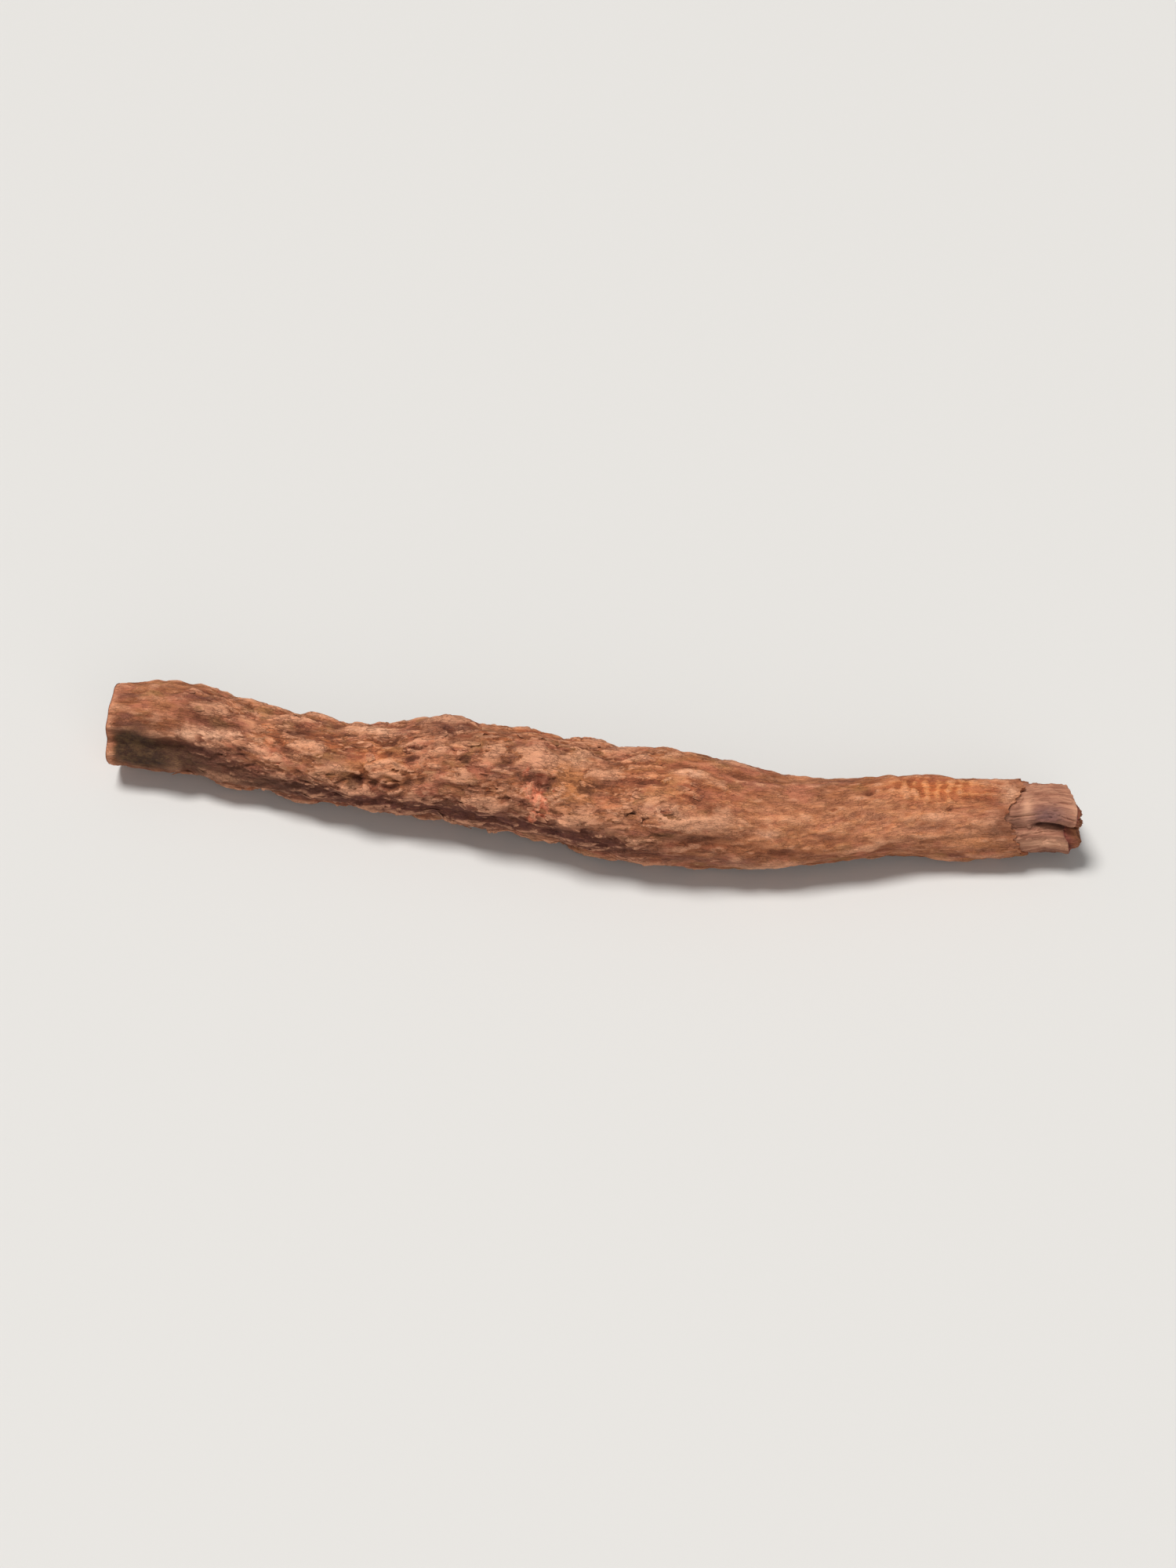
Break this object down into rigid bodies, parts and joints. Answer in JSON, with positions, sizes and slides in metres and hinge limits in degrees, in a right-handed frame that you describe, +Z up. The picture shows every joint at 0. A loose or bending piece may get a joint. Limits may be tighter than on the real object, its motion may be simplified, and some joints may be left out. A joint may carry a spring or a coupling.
{
  "type": "dried manjistha root",
  "caption": "Crooked cut length of dried manjistha root with scaly red-brown bark and one peeled end, lying on its side.",
  "frame": {"origin": "on the surface it lies on, under the middle of the root's box", "axes": "+X along the root towards its peeled end, +Z up, +Y towards the back, away from the side that bows out"},
  "size_m": [0.0902, 0.0146, 0.0108],
  "materials": {
    "dried_bark": "matt, dry and wrinkled, red-brown"
  },
  "bodies": {
    "root": {"manjistha_root": "dried_bark"}
  },
  "joints": []
}
